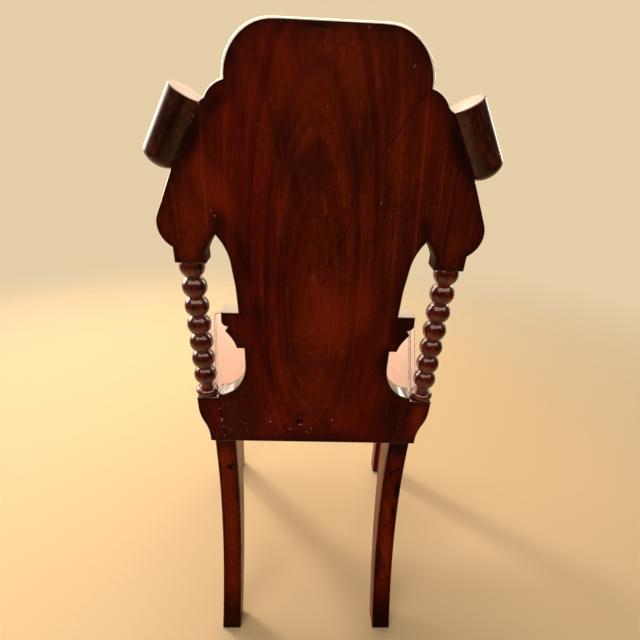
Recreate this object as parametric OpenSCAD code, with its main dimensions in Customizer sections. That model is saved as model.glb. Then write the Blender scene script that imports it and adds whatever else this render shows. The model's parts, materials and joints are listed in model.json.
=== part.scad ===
// Hall chair with a shaped board back, shoulder rolls and two ball-turned spindles.
// The chair faces -Y, its left side is +X, and the floor is Z = 0.

/* [Back board] */
// Drop of the board's lower edge below the seat's top face
apron_drop = 47.6; // [46:0.2:50]
// Backward lean of the board in degrees
rake = 5.7; // [5:0.1:6.4]
// Thickness of the board
board_t = 23; // [21:0.5:25]
// Height of the board along its face
board_h = 488.6; // [488:0.2:494]
// Half the width of the crest between the rolls
crest_half = 96; // [94:0.5:98]
// Radius of the crest's two corners
crest_r = 45.5; // [40:0.5:45.5]
// Height of the shoulders along the board's face
shoulder_v = 442.3; // [440:0.1:442.4]
// Radius of the ear lobe below each roll
ear_r = 28; // [26:0.5:29]
// Half the width of the splat's neck
neck_half = 90.7; // [86:0.5:92]
// Half the width of the splat above its cornice
waist_half = 95; // [93:0.5:97]
// Half the width of the cornice
cornice_half = 115.5; // [113:0.5:118]
// Half the width of the apron between the corbels
apron_half = 128; // [126:0.5:129]

/* [Shoulder rolls] */
// Radius of each roll
roll_r = 18; // [17:0.5:19]
// Straight length of each roll
roll_len = 66; // [62:1:68]
// Height of the dome on each roll's lower end
dome_h = 9; // [6:0.5:11]
// Outward slope of each roll in degrees
roll_slope = 29.6; // [28:0.2:31]
// Depth of the flat planed on each roll
roll_flat = 3.5; // [2:0.5:5]

/* [Spindles and corbels] */
// Diameter of the turned balls
ball_d = 29; // [28:0.5:30]
// Distance from ball to ball
ball_pitch = 25; // [24.6:0.1:25.2]
// Distance of each spindle from the middle of the chair
spindle_u = 145.3; // [143:0.1:146]
// Diameter of the spindle's tenons
tenon_d = 10; // [8:0.5:11]
// Height of the corbels along the board's face
corbel_h = 78.6; // [77:0.2:80]
// Reach of the corbels from the middle of the chair
corbel_half = 157.2; // [156:0.2:160]

/* [Seat] */
// Height of the seat's top face
seat_h = 440; // [438:1:444]
// Thickness of the seat
seat_t = 20; // [18:0.5:22]
// Half the width of the seat along its front edge
seat_front_half = 232; // [226:1:238]
// Half the width of the seat at the board
seat_back_half = 148; // [144:1:152]
// Distance from the board's back edge to the seat's front edge
seat_reach = 374.6; // [370:0.5:378]
// Radius of the seat's front corners
seat_corner_r = 20; // [12:1:26]
// Distance of the quirk from the seat's edge
quirk_in = 9.8; // [8:0.2:12]
// Width of the quirk
quirk_w = 2; // [1.4:0.2:3]
// Depth of the quirk
quirk_d = 1.2; // [0.8:0.2:2]

/* [Legs] */
// Width of the rear legs
rear_leg_w = 30.8; // [29:0.2:33]
// Distance from the middle to the outer face of the rear legs
rear_leg_half = 147.2; // [146:0.2:148]
// Reach of the rear foot's back face behind the board's lower edge
rear_foot_back = 24.4; // [18:0.2:30]
// Depth of the rear foot
rear_foot_d = 29.8; // [27:0.2:33]
// Distance from the board's back edge to the rear legs' front face at the seat
rear_leg_reach = 76.6; // [74:0.2:80]
// Inset of the front feet's outer face from the seat's widest line
front_foot_in = 28; // [26:0.5:30]
// Reach of the front feet past the seat's front edge
front_foot_out = 4.4; // [2:0.2:6]
// Width of the front feet
front_foot_w = 32; // [30:0.5:35]
// Depth of the front feet
front_foot_d = 30; // [28:0.5:34]
// Width of the front legs at the seat
front_top_w = 42; // [40:0.5:44]
// Depth of the front legs at the seat
front_top_d = 40; // [38:0.5:44]
// Setback of the front legs at the seat from their feet
front_lean = 14.5; // [10:0.5:18]

/* [Rails] */
// Height of the four rails
rail_h = 44; // [40:1:46]
// Thickness of the four rails
rail_t = 20; // [18:0.5:22]
// Inset of the side rails from the seat's edge
rail_in = 13.3; // [12.8:0.1:14]

/* [Hidden] */
$fn = 64;
LEFT = 1;
RIGHT = -1;
MAHOGANY = "#54200f";
SECONDARY = "#a8794f";
DOWEL = "#c9a878";
STEEL = "#8d8a84";
eps = 0.01;
span = 600;

// The board's own frame: u runs to the left, v up the face, w forward from the back face
apron_z = seat_h - apron_drop;
front_foot_reach = seat_reach + front_foot_out;
roll_top_drop = 11.2;
back_reach = sin(rake) * (shoulder_v - roll_top_drop) - cos(rake) * board_t / 2 + roll_r;
back_y = (front_foot_reach - back_reach) / 2;
function face_y(z) = back_y + (z - apron_z) * tan(rake) - board_t / cos(rake);

// Haunches and cornice, as heights along the board's face
haunch_v = 134;
haunch_h = 50;
cornice_v = 157;
cove_in = 15.7;
cove_sag = 1.6;
bead = [cornice_half - 5.6, 181.6];
bead_r = 2.3;
ovolo = [cornice_half - 6.9, 195.1];
ovolo_r = 7.5;
cornice_top = 207;

// Pointed arches, ear blocks and ears
arch_low = [waist_half, cornice_top + 1];
arch_mid = [waist_half + 5.2, 270];
arch_apex = [113.6, 299.4];
arch_foot_v = 279;
arch_sag = [1.3, 2.1, 1.2];
block_v = 266.8;
block_in = 126;
block_half = 160.6;
ear = [146, 308.5];
ear_low = 23.9;
ear_angle = 25.3;

// Roll axis, held off the board's edge by the planed flat
roll_hold = roll_r - roll_flat;
roll_top = [130.2, shoulder_v - roll_top_drop];
roll_dir = [sin(roll_slope), -cos(roll_slope)];
roll_side = [-cos(roll_slope), -sin(roll_slope)];
roll_seat = roll_top + roll_hold * roll_side;
shoulder_foot = roll_seat + [-4.2, 3.8];
shoulder_sag = 2.4;

// Dowels
dowel_d = 8;
dowel_hole = dowel_d + 0.2;
glue_room = 1;
roll_dowel_at = [18, 48];
roll_dowel_len = 30;
roll_dowel_in = 11.5;
corbel_dowel_at = [18, 48];
corbel_dowel_len = 32;

// Spindles and corbels
spindle_balls = 6;
first_ball_v = 109.5;
neck_r = 8;
neck_h = 1.8;
cup_rim_r = 4.6;
cup_foot_h = 1;
collar_h = 3;
tenon_len = 13;
tenon_hole = tenon_d + 0.2;
corbel_low = [146, 8];
corbel_high = [corbel_half, 61];
corbel_sag = 1.4;

// Seat plan
seat_front_y = back_y - seat_reach;
seat_under = seat_h - seat_t;
side_angle = atan((seat_front_half - seat_back_half) / (face_y(seat_h) - seat_front_y));
function seat_half(y) = seat_front_half - (y - seat_front_y) * tan(side_angle);

// Rear legs
rear_top_y = back_y - rear_leg_reach;
rear_in_x = rear_leg_half - rear_leg_w;
rear_sweep_z = seat_under - 90;
rear_lift_z = seat_under - 75;

// Front legs, tapered and leaning to their feet
front_foot_half = seat_front_half - front_foot_in;
foot_y = back_y - front_foot_reach;
foot_back_y = foot_y + front_foot_d;
front_taper = (front_top_w - front_foot_w) / 2;
top_front_y = foot_y + front_lean;
top_back_y = top_front_y + front_top_d;
function leg_in_x(z) = front_foot_half - front_foot_w - front_taper * z / seat_under;

// Rails
rail_z = seat_under - rail_h;
rear_rail_y = face_y(seat_under) - rail_t;
front_rail_y = top_front_y + 3;
function rail_x(y) = seat_half(y) - rail_in / cos(side_angle);
function rail_in_x(y) = rail_x(y) - rail_t / cos(side_angle);
rail_tenon_t = 8;
rail_tenon_h = 30;
rail_tenon_len = 18;
rear_tenon_len = 15;
rear_tenon_in = 5;
rail_tenon_z = rail_z + (rail_h - rail_tenon_h) / 2;

// Corner blocks, between two rails and against the leg
block_h = 30;
block_z = seat_under - block_h;
block_leg = 52;
block_end = 10;
front_in_y = front_rail_y + rail_t;
front_leg_x = leg_in_x(seat_under);
front_run = top_back_y + block_leg;
rear_run = rear_top_y - block_leg + block_end;

// Glue blocks, spaced along the free run of each rail
glue_size = 14;
glue_len = 45;
glue_share = [1 / 4, 3 / 4];

// Screws
shank_d = 4;
shank_hole = shank_d + 0.2;
point_h = 6;
head_d = 8.4;
head_h = 2.6;
head_hole = 9;
slot_w = 1;
slot_h = 0.9;
back_screw_u = [-25, 20, 61.4];
back_screw_z = seat_h - 9;
back_screw_len = 42;
back_bore = 9.6;
back_bore_deep = 7;
pellet_in = 6;
rail_screw_x = [-92, -35, 35, 92];
rail_screw_z = rail_z + 14;
rail_screw_len = 34;
block_screw_len = 30;
block_screw_off = 14;
block_screw_in = 38;
block_screw_low = block_z + 9;
block_screw_high = block_z + 20;
seat_screw_len = 42;
front_hold = [front_leg_x - 22, front_in_y + 16];
rear_hold = [rear_in_x - 20, rear_rail_y - 16];

// Points along an arc, from angle a to angle b in steps of at most 5 degrees
function arc(c, r, a, b) =
    let (steps = ceil(abs(b - a) / 5))
    [for (i = [0 : steps]) c + r * [cos(a + (b - a) * i / steps), sin(a + (b - a) * i / steps)]];

// Points of the arc from p to q that bulges by s to the right of the way from p to q
function bow(p, q, s) =
    let (
        d = q - p,
        len = norm(d),
        r = (len * len / 4 + s * s) / (2 * abs(s)),
        side = s > 0 ? 1 : -1,
        right = [d.y, -d.x] / len,
        c = (p + q) / 2 - side * (r - abs(s)) * right,
        a = atan2(p.y - c.y, p.x - c.x),
        turn = side * 2 * asin(len / 2 / r)
    )
    arc(c, r, a, a + turn);

// Right half of the board's outline, from its foot to its crest, as [u, v]
function half_outline() = concat(
    [[apron_half, 0], [apron_half, corbel_h]],
    // Concave haunch, a quarter of an ellipse
    [for (a = [-90 : -6 : -180])
        [apron_half + (apron_half - neck_half) * cos(a), haunch_v + haunch_h * sin(a)]],
    [[neck_half, cornice_v]],
    // Cornice: cove, bead, ovolo and fillet
    bow([cornice_half - cove_in, cornice_v], bead + bead_r * [cos(-40), sin(-40)], -cove_sag),
    arc(bead, bead_r, -40, 70),
    [ovolo - [0, ovolo_r]],
    arc(ovolo, ovolo_r, -80, 0),
    [[cornice_half, cornice_top], [waist_half, cornice_top]],
    // Pointed arch between the splat and the ear block
    bow(arch_low, arch_mid, -arch_sag[0]),
    bow(arch_mid, arch_apex, -arch_sag[1]),
    bow(arch_apex, [block_in, arch_foot_v], -arch_sag[2]),
    [[block_in, block_v], [block_half, block_v]],
    // Ear lobe, then the straight edge that carries the roll
    arc(ear, ear_r, -asin(ear_low / ear_r), ear_angle),
    [roll_seat + roll_len * roll_dir, roll_seat],
    // Shoulder and crest corner
    bow(shoulder_foot, [crest_half, shoulder_v], shoulder_sag),
    arc([crest_half - crest_r, board_h - crest_r], crest_r, 0, 90)
);

// Polygon through a list of points and their mirror image
module mirrored(half) {
    polygon(concat(half, [for (i = [len(half) - 1 : -1 : 0]) [-half[i].x, half[i].y]]));
}

// Turns what is modelled for the left side into the side asked for
module sided(side) {
    mirror([side == LEFT ? 0 : 1, 0, 0]) children();
}

// Extrudes a side view, drawn as [y, z], evenly about the middle of the chair
module across(width = span) {
    translate([-width / 2, 0, 0]) rotate([90, 0, 90]) linear_extrude(width) children();
}

// Places children in the board's own frame
module on_board() {
    translate([0, back_y, apron_z]) rotate([90 - rake, 0, 0]) children();
}

// Places children on a roll's axis, with +Z down the roll and -X towards the board
module on_roll(side) {
    on_board() sided(side) translate([roll_top.x, roll_top.y, board_t / 2])
        rotate([0, 0, roll_slope]) rotate([90, 0, 0]) children();
}

// Places children on a spindle's axis, with +Z up the board from its lower edge
module on_spindle(side) {
    on_board() translate([side * spindle_u, 0, board_t / 2]) rotate([-90, 0, 0]) children();
}

// Countersunk wood screw with its head at Z = 0 and its point at Z = length
module wood_screw(length) {
    difference() {
        union() {
            cylinder(h = head_h, d1 = head_d, d2 = shank_d);
            cylinder(h = length - point_h, d = shank_d);
            translate([0, 0, length - point_h]) cylinder(h = point_h, d1 = shank_d, d2 = shank_d / 4);
        }
        translate([-head_d, -slot_w / 2, -slot_h]) cube([2 * head_d, slot_w, 2 * slot_h]);
    }
}

// Clearance hole for a wood screw, with a pocket above its head
module screw_hole(length, pocket = 1) {
    translate([0, 0, -pocket]) cylinder(h = pocket, d = head_hole);
    cylinder(h = head_h, d1 = head_hole, d2 = shank_hole);
    cylinder(h = length + glue_room, d = shank_hole);
}

module at_back_screws(which) {
    y = back_y + (back_screw_z - apron_z) * tan(rake);
    for (u = which) translate([u, y, back_screw_z]) rotate([90, 0, 0]) children();
}

module at_rail_screws() {
    for (x = rail_screw_x) translate([x, rear_rail_y, rail_screw_z]) rotate([-90, 0, 0]) children();
}

// Dowels that cross from a roll into the board
module roll_dowel(d, room = 0) {
    for (z = roll_dowel_at) translate([roll_dowel_in - roll_hold + room / 2, 0, z])
        rotate([0, -90, 0]) cylinder(h = roll_dowel_len + room, d = d);
}

// Dowels that cross from a corbel into the board
module corbel_dowel(side, d, room = 0) {
    length = corbel_dowel_len + room;
    for (v = corbel_dowel_at) on_board() translate([side * (apron_half - length / 2), v, board_t / 2])
        rotate([0, side * 90, 0]) cylinder(h = length, d = d);
}

module back_board() {
    color(MAHOGANY) difference() {
        on_board() linear_extrude(board_t) mirrored(half_outline());
        for (side = [LEFT, RIGHT]) {
            on_roll(side) roll_dowel(dowel_hole, glue_room);
            corbel_dowel(side, dowel_hole, glue_room);
            on_spindle(side) translate([0, 0, block_v - tenon_len])
                cylinder(h = 2 * tenon_len + glue_room, d = tenon_hole);
        }
        at_back_screws(back_screw_u) {
            translate([0, 0, -back_bore_deep]) cylinder(h = 2 * back_bore_deep, d = back_bore);
            translate([0, 0, back_bore_deep]) screw_hole(back_screw_len);
        }
        at_rail_screws() screw_hole(rail_screw_len);
    }
}

module roll_body() {
    dome_r = (roll_r * roll_r + dome_h * dome_h) / (2 * dome_h);
    difference() {
        union() {
            cylinder(h = roll_len, r = roll_r);
            intersection() {
                translate([0, 0, roll_len + dome_h - dome_r]) sphere(r = dome_r);
                translate([0, 0, roll_len]) cylinder(h = 2 * dome_h, r = roll_r);
            }
        }
        translate([-roll_hold - span, -span / 2, -span / 2]) cube(span);
        roll_dowel(dowel_hole, glue_room);
    }
}

module shoulder_roll(side) {
    color(MAHOGANY) on_roll(side) roll_body();
}

module roll_dowels() {
    color(DOWEL) for (side = [LEFT, RIGHT]) on_roll(side) roll_dowel(dowel_d);
}

// Cup with a rounded rim, six balls and a seventh cut off by the ear block
module spindle_body() {
    cup_top = corbel_h + cup_foot_h + 2 * cup_rim_r;
    translate([0, 0, corbel_h - tenon_len]) cylinder(h = 2 * tenon_len, d = tenon_d);
    translate([0, 0, corbel_h]) cylinder(h = cup_top - corbel_h, r = ball_d / 2 - cup_rim_r);
    translate([0, 0, cup_top - cup_rim_r])
        rotate_extrude() translate([ball_d / 2 - cup_rim_r, 0]) circle(r = cup_rim_r);
    translate([0, 0, cup_top]) cylinder(h = collar_h - cup_foot_h, r = neck_r + 1);
    translate([0, 0, cup_top]) cylinder(h = first_ball_v - cup_top, r = neck_r - 0.5);
    for (i = [0 : spindle_balls - 1]) {
        translate([0, 0, first_ball_v + i * ball_pitch]) sphere(d = ball_d);
        translate([0, 0, first_ball_v + (i + 0.5) * ball_pitch - neck_h / 2])
            cylinder(h = neck_h, r = neck_r);
    }
    intersection() {
        translate([0, 0, first_ball_v + spindle_balls * ball_pitch]) sphere(d = ball_d);
        translate([0, 0, block_v - ball_d]) cylinder(h = ball_d, d = 2 * ball_d);
    }
    translate([0, 0, block_v - tenon_len]) cylinder(h = 2 * tenon_len, d = tenon_d);
}

module spindle(side) {
    color(MAHOGANY) on_spindle(side) spindle_body();
}

module corbel_outline() {
    middle = (corbel_low + corbel_high) / 2;
    polygon(concat(
        [[apron_half, 0], [corbel_low.x, 0]],
        bow(corbel_low, middle, -corbel_sag),
        bow(middle, corbel_high, corbel_sag),
        [[corbel_half, corbel_h], [apron_half, corbel_h]]
    ));
}

module corbel(side) {
    color(MAHOGANY) difference() {
        on_board() sided(side) linear_extrude(board_t) corbel_outline();
        corbel_dowel(side, dowel_hole, glue_room);
        on_spindle(side) translate([0, 0, corbel_h - tenon_len - glue_room])
            cylinder(h = 2 * tenon_len, d = tenon_hole);
    }
}

module corbel_dowels() {
    color(DOWEL) for (side = [LEFT, RIGHT]) corbel_dowel(side, dowel_d);
}

// Plan of the seat, inset evenly from its front and side edges
module seat_plan(inset = 0) {
    y = seat_front_y + inset;
    r = seat_corner_r - inset;
    drop = inset / cos(side_angle);
    c = [seat_half(y + r) - drop - r / cos(side_angle), y + r];
    mirrored(concat(arc(c, r, -90, side_angle), [[seat_half(back_y) - drop, back_y]]));
}

// Everything in front of the board's front face
module before_board() {
    across() polygon([[face_y(0), 0], [face_y(span), span], [-span, span], [-span, 0]]);
}

module seat_board() {
    color(MAHOGANY) difference() {
        intersection() {
            translate([0, 0, seat_under]) linear_extrude(seat_t) seat_plan();
            before_board();
        }
        translate([0, 0, seat_h - quirk_d]) linear_extrude(2 * quirk_d) difference() {
            seat_plan(quirk_in - quirk_w / 2);
            seat_plan(quirk_in + quirk_w / 2);
        }
        at_back_screws(back_screw_u) translate([0, 0, back_bore_deep]) screw_hole(back_screw_len);
        at_seat_screws() screw_hole(seat_screw_len);
    }
}

// Side view of a rear leg: a straight head, a hollow back and a bowed front
module rear_leg_profile() {
    lift = [face_y(rear_lift_z), rear_lift_z];
    foot = back_y + rear_foot_back;
    run = foot - lift.x;
    back_r = (run * run + lift.y * lift.y) / (2 * (run * cos(rake) + lift.y * sin(rake)));
    front = foot - rear_foot_d - rear_top_y;
    front_r = (front * front + rear_sweep_z * rear_sweep_z) / (2 * front);
    difference() {
        union() {
            intersection() {
                translate([rear_top_y + front_r, rear_sweep_z]) circle(r = front_r, $fn = 360);
                translate([rear_top_y - eps, 0]) square([foot - rear_top_y + eps, rear_sweep_z + eps]);
            }
            polygon([
                [rear_top_y, rear_sweep_z], [back_y, rear_sweep_z], [back_y, rear_lift_z], lift,
                [face_y(seat_under), seat_under], [rear_top_y, seat_under]
            ]);
        }
        intersection() {
            translate(lift + back_r * [cos(rake), -sin(rake)]) circle(r = back_r, $fn = 360);
            translate([-span / 2, -eps]) square([span, rear_lift_z + eps]);
        }
    }
}

module rear_leg(side) {
    color(MAHOGANY) difference() {
        translate([side * (rear_leg_half - rear_leg_w / 2), 0, 0]) across(rear_leg_w) rear_leg_profile();
        side_rail_tenons(side, glue_room);
        rear_rail_tenons(glue_room);
    }
}

module front_leg(side) {
    color(MAHOGANY) difference() {
        intersection() {
            sided(side) translate([0, span / 2, 0]) rotate([90, 0, 0]) linear_extrude(span) polygon([
                [leg_in_x(0), 0], [front_foot_half, 0],
                [front_foot_half + front_taper, seat_under], [leg_in_x(seat_under), seat_under]
            ]);
            across() polygon([
                [foot_y, 0], [foot_back_y, 0], [top_back_y, seat_under], [top_front_y, seat_under]
            ]);
        }
        side_rail_tenons(side, glue_room);
        front_rail_tenons(glue_room);
    }
}

module front_rail_tenons(room = 0) {
    reach = leg_in_x(rail_z) + rail_tenon_len + room;
    translate([-reach, front_rail_y + (rail_t - rail_tenon_t) / 2, rail_tenon_z])
        cube([2 * reach, rail_tenon_t, rail_tenon_h]);
}

module front_rail() {
    color(MAHOGANY) difference() {
        union() {
            translate([0, front_rail_y + rail_t, 0]) rotate([90, 0, 0]) linear_extrude(rail_t) polygon([
                [-leg_in_x(rail_z), rail_z], [leg_in_x(rail_z), rail_z],
                [leg_in_x(seat_under), seat_under], [-leg_in_x(seat_under), seat_under]
            ]);
            front_rail_tenons();
        }
        at_block_screws() screw_hole(block_screw_len);
    }
}

module rear_rail_tenons(room = 0) {
    reach = rear_in_x + rear_tenon_len + room;
    translate([-reach, rear_rail_y + rear_tenon_in, rail_tenon_z])
        cube([2 * reach, rail_tenon_t, rail_tenon_h]);
}

module rear_rail() {
    color(SECONDARY) difference() {
        union() {
            intersection() {
                translate([-rear_in_x, rear_rail_y, rail_z]) cube([2 * rear_in_x, 2 * rail_t, rail_h]);
                before_board();
            }
            rear_rail_tenons();
        }
        at_rail_screws() screw_hole(rail_screw_len);
        at_block_screws() screw_hole(block_screw_len);
    }
}

// Plan of a side rail from one y to another, between two depths in from its outer face
module rail_plan(side, y0, y1, in0, in1) {
    d0 = in0 / cos(side_angle);
    d1 = in1 / cos(side_angle);
    sided(side) polygon([
        [rail_x(y0) - d0, y0], [rail_x(y1) - d0, y1], [rail_x(y1) - d1, y1], [rail_x(y0) - d1, y0]
    ]);
}

module side_rail_tenons(side, room = 0) {
    in0 = (rail_t - rail_tenon_t) / 2;
    y0 = top_back_y - rail_tenon_len - room;
    y1 = rear_top_y + rail_tenon_len + room;
    translate([0, 0, rail_tenon_z]) linear_extrude(rail_tenon_h)
        rail_plan(side, y0, y1, in0, in0 + rail_tenon_t);
}

module side_rail(side) {
    color(MAHOGANY) difference() {
        union() {
            intersection() {
                translate([0, 0, rail_z]) linear_extrude(rail_h)
                    rail_plan(side, foot_back_y, rear_top_y, 0, rail_t);
                across() polygon([
                    [foot_back_y, 0], [top_back_y, seat_under], [rear_top_y, seat_under], [rear_top_y, 0]
                ]);
            }
            side_rail_tenons(side);
        }
        at_block_screws() screw_hole(block_screw_len);
    }
}

module front_block_plan() {
    polygon([
        [front_leg_x - block_leg, front_in_y], [front_leg_x, front_in_y], [front_leg_x, top_back_y],
        [rail_in_x(top_back_y), top_back_y], [rail_in_x(front_run), front_run],
        [rail_in_x(front_run) - block_end, front_run], [front_leg_x - block_leg, front_in_y + block_end]
    ]);
}

module rear_block_plan() {
    polygon([
        [rear_in_x - block_leg, rear_rail_y], [rear_in_x, rear_rail_y], [rear_in_x, rear_top_y],
        [rail_in_x(rear_top_y), rear_top_y], [rail_in_x(rear_run), rear_run],
        [rail_in_x(rear_run) - block_end, rear_run], [rear_in_x - block_leg, rear_rail_y - block_end]
    ]);
}

// One screw from each block into the front or rear rail, and one into the side rail
module at_block_screws() {
    side_y = [front_run - block_screw_off, rear_run + block_screw_off];
    for (side = [LEFT, RIGHT]) sided(side) {
        translate([front_leg_x - block_screw_in, front_in_y + block_screw_off, block_screw_low])
            rotate([90, 0, 0]) children();
        translate([rear_in_x - block_screw_in, rear_rail_y - block_screw_off, block_screw_low])
            rotate([-90, 0, 0]) children();
        for (y = side_y) translate([rail_in_x(y) - block_screw_off, y, block_screw_high])
            rotate([0, 90, side_angle]) children();
    }
}

// One screw up through each block into the seat
module at_seat_screws() {
    for (side = [LEFT, RIGHT], at = [front_hold, rear_hold])
        translate([side * at.x, at.y, block_z]) children();
}

module corner_block(side, front) {
    color(SECONDARY) difference() {
        translate([0, 0, block_z]) sided(side) linear_extrude(block_h)
            if (front) front_block_plan();
            else rear_block_plan();
        at_block_screws() screw_hole(block_screw_len, block_leg);
        at_seat_screws() screw_hole(seat_screw_len);
    }
}

// Rubbed block glued in the angle between the seat and a rail, with the rail on its +X side
module glue_block() {
    rotate([90, 0, 0]) translate([0, 0, -glue_len / 2]) linear_extrude(glue_len)
        polygon([[0, 0], [-glue_size, 0], [0, -glue_size]]);
}

module glue_blocks() {
    free_x = front_leg_x - block_leg;
    color(SECONDARY) for (share = glue_share) {
        y = front_run + share * (rear_run - front_run);
        for (side = [LEFT, RIGHT]) sided(side)
            translate([rail_in_x(y), y, seat_under]) rotate([0, 0, side_angle]) glue_block();
        translate([(2 * share - 1) * free_x, front_in_y, seat_under]) rotate([0, 0, -90]) glue_block();
    }
}

module corner_block_screws() {
    color(STEEL) at_block_screws() wood_screw(block_screw_len);
}

module seat_screws() {
    color(STEEL) at_seat_screws() wood_screw(seat_screw_len);
}

module rear_rail_screws() {
    color(STEEL) at_rail_screws() wood_screw(rail_screw_len);
}

module back_screws() {
    color(STEEL) at_back_screws(back_screw_u) translate([0, 0, back_bore_deep]) wood_screw(back_screw_len);
}

// Pellets cover the outer two back screws, and the middle bore is open
module screw_pellets() {
    color(MAHOGANY) intersection() {
        at_back_screws([back_screw_u[0], back_screw_u[2]])
            translate([0, 0, -pellet_in]) cylinder(h = 2 * pellet_in, d = back_bore - 0.1);
        on_board() translate([-span / 2, 0, 0]) cube([span, span, board_t]);
    }
}

back_board();
shoulder_roll(LEFT);  // shoulder_roll_left
shoulder_roll(RIGHT);  // shoulder_roll_right
roll_dowels();
spindle(LEFT);  // spindle_left
spindle(RIGHT);  // spindle_right
corbel(LEFT);  // corbel_left
corbel(RIGHT);  // corbel_right
corbel_dowels();
seat_board();
front_rail();
side_rail(LEFT);  // side_rail_left
side_rail(RIGHT);  // side_rail_right
rear_rail();
rear_leg(LEFT);  // rear_leg_left
rear_leg(RIGHT);  // rear_leg_right
front_leg(LEFT);  // front_leg_left
front_leg(RIGHT);  // front_leg_right
corner_block(LEFT, true);  // corner_block_front_left
corner_block(RIGHT, true);  // corner_block_front_right
corner_block(LEFT, false);  // corner_block_rear_left
corner_block(RIGHT, false);  // corner_block_rear_right
glue_blocks();
corner_block_screws();
seat_screws();
rear_rail_screws();
back_screws();
screw_pellets();
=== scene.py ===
import json
import math

import bmesh
import bpy
from mathutils import Matrix, Vector, kdtree

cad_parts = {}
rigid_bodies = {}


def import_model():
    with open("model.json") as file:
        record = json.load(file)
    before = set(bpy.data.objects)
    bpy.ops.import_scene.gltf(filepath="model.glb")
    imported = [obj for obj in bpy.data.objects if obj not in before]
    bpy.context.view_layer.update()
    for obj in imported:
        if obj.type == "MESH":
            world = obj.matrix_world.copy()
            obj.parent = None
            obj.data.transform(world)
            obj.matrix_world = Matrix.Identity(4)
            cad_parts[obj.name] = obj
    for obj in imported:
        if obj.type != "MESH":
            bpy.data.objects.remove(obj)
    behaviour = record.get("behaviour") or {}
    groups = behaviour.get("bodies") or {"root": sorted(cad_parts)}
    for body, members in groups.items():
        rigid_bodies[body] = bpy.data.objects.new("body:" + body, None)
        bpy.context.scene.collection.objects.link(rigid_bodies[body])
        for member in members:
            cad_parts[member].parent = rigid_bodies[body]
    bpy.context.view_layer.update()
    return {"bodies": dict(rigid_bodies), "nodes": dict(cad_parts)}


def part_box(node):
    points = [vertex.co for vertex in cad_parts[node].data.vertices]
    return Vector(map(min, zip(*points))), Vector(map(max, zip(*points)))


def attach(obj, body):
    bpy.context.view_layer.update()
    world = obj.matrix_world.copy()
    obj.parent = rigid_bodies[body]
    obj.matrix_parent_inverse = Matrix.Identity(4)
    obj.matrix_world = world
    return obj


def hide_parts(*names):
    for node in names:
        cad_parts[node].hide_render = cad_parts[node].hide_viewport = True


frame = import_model()
nodes = frame["nodes"]
mm = 0.001
rootBody = next(iter(frame["bodies"]))
scene = bpy.context.scene
print("frame loaded, %d nodes" % len(nodes))


# sRGB hex to the linear colour that Blender works in
def linear(hexColour):
    channels = [int(hexColour[i:i + 2], 16) / 255 for i in (1, 3, 5)]
    return tuple(c / 12.92 if c <= 0.04045 else ((c + 0.055) / 1.055) ** 2.4 for c in channels) + (1.0,)


# Adds one node. The setting stops fills a colour ramp. An input takes a value, or another node's output,
# which is linked.
def addNode(tree, kind, settings=None, inputs=None):
    node = tree.nodes.new(kind)
    for key, value in (settings or {}).items():
        if key == "stops":
            elements = node.color_ramp.elements
            while len(elements) < len(value):
                elements.new(0.5)
            for element, (position, hexColour) in zip(elements, value):
                element.position = position
                element.color = linear(hexColour)
        else:
            setattr(node, key, value)
    for key, value in (inputs or {}).items():
        if isinstance(value, bpy.types.NodeSocket):
            tree.links.new(value, node.inputs[key])
        else:
            node.inputs[key].default_value = value
    return node


# A new material and its node tree, still empty
def emptyMaterial(name):
    material = bpy.data.materials.new(name)
    material.use_nodes = True
    material.node_tree.nodes.clear()
    return material, material.node_tree


# The board's own frame: u to the chair's left, v up its face, w forward from its back face
board = {
    "rake": math.radians(5.7),
    "height": 488.6 * mm,
    "thickness": 23 * mm,
    "screwU": (-25 * mm, 20 * mm, 61.4 * mm),    # bores near the foot; the outer two are plugged
    "screwZ": 431 * mm,
    "boreWall": 5.1 * mm,      # faces nearer than this to a bore's axis are its wall
    "boreRim": 0.5 * mm,       # a bore is dirty from this depth on
    "keepRound": 7 * mm,       # edges nearer than this to a bore's axis stay crisp
    "archIn": 114.5 * mm, "archOut": 129 * mm, "archFoot": 262 * mm, "archTop": 298.5 * mm,
    "archTurned": 0.3,         # a side in an arch faces sideways by at least this share
    "jointU": 124 * mm, "jointV": 95 * mm,    # outside these the corbels meet it, with sharp edges
}
boardLow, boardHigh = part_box("back_board")
boardFoot = Vector((0, boardHigh.y - board["height"] * math.sin(board["rake"]), boardLow.z))
boardFrame = Matrix.Translation(boardFoot) @ Matrix.Rotation(math.pi / 2 - board["rake"], 4, "X")
fromBoard = boardFrame.inverted()


def onBoard(u, v, w=0.0):
    return boardFrame @ Vector((u * mm, v * mm, w * mm))


# How ragged the marks on the wood are, and how far into it they reach
ragged = {"size": 2.2 * mm, "reach": 1.6 * mm, "depth": 40 * mm}


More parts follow.
